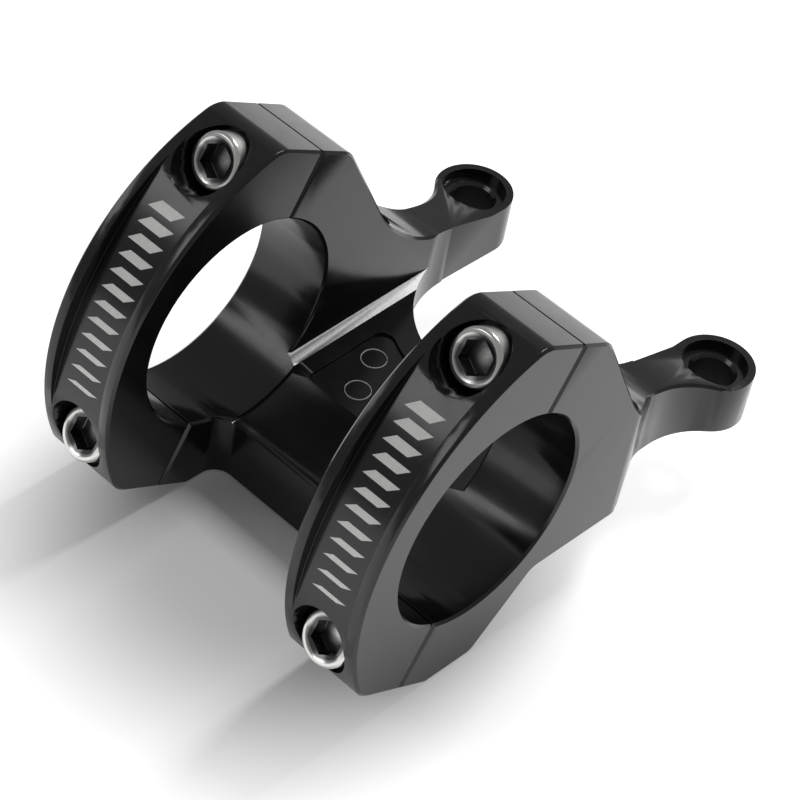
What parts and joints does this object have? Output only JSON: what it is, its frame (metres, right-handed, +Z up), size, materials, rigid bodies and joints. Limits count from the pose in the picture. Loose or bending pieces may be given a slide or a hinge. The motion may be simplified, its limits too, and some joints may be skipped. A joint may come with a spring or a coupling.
{
  "type": "handlebar stem",
  "caption": "Direct-mount handlebar stem with split face-cap clamps for a 35 mm bar, fixed to a double-crown fork by flat lugs.",
  "frame": {"origin": "middle of the handlebar axis, half way between the two clamps", "axes": "+X along the handlebar, +Y rearward to the crown lugs, +Z up, square to the crown's top face"},
  "size_m": [0.064, 0.0912, 0.0587],
  "materials": {
    "black_anodised": "machined and anodised black, satin gloss",
    "bolt_steel": "bright plated steel"
  },
  "bodies": {
    "stem": {"stem_body": "black_anodised"},
    "left_cap": {"left_face_cap": "black_anodised"},
    "left_upper_bolt": {"left_upper_cap_bolt": "bolt_steel"},
    "left_lower_bolt": {"left_lower_cap_bolt": "bolt_steel"},
    "right_cap": {"right_face_cap": "black_anodised"},
    "right_upper_bolt": {"right_upper_cap_bolt": "bolt_steel"},
    "right_lower_bolt": {"right_lower_cap_bolt": "bolt_steel"}
  },
  "joints": [
    {"name": "left_cap_slide", "type": "slide", "parent": "stem", "child": "left_cap", "axis": [0, -0.8988, 0.4384], "range_m": [0, 0.009]},
    {"name": "left_upper_bolt_turn", "type": "hinge", "parent": "left_cap", "child": "left_upper_bolt", "pos_m": [-0.025, 0.00227, 0.02426], "axis": [0, -0.8988, 0.4384], "range_deg": [0, 4050]},
    {"name": "left_lower_bolt_turn", "type": "hinge", "parent": "left_cap", "child": "left_lower_bolt", "pos_m": [-0.025, -0.01772, -0.01672], "axis": [0, -0.8988, 0.4384], "range_deg": [0, 4050]},
    {"name": "right_cap_slide", "type": "slide", "parent": "stem", "child": "right_cap", "axis": [0, -0.8988, 0.4384], "range_m": [0, 0.009]},
    {"name": "right_upper_bolt_turn", "type": "hinge", "parent": "right_cap", "child": "right_upper_bolt", "pos_m": [0.025, 0.00227, 0.02426], "axis": [0, -0.8988, 0.4384], "range_deg": [0, 4050]},
    {"name": "right_lower_bolt_turn", "type": "hinge", "parent": "right_cap", "child": "right_lower_bolt", "pos_m": [0.025, -0.01772, -0.01672], "axis": [0, -0.8988, 0.4384], "range_deg": [0, 4050]}
  ],
  "couplings": [
    {"joint": "left_upper_bolt_turn", "follows": "left_cap_slide", "rad_per_m": 7854},
    {"joint": "left_lower_bolt_turn", "follows": "left_cap_slide", "rad_per_m": 7854},
    {"joint": "right_upper_bolt_turn", "follows": "right_cap_slide", "rad_per_m": 7854},
    {"joint": "right_lower_bolt_turn", "follows": "right_cap_slide", "rad_per_m": 7854}
  ]
}
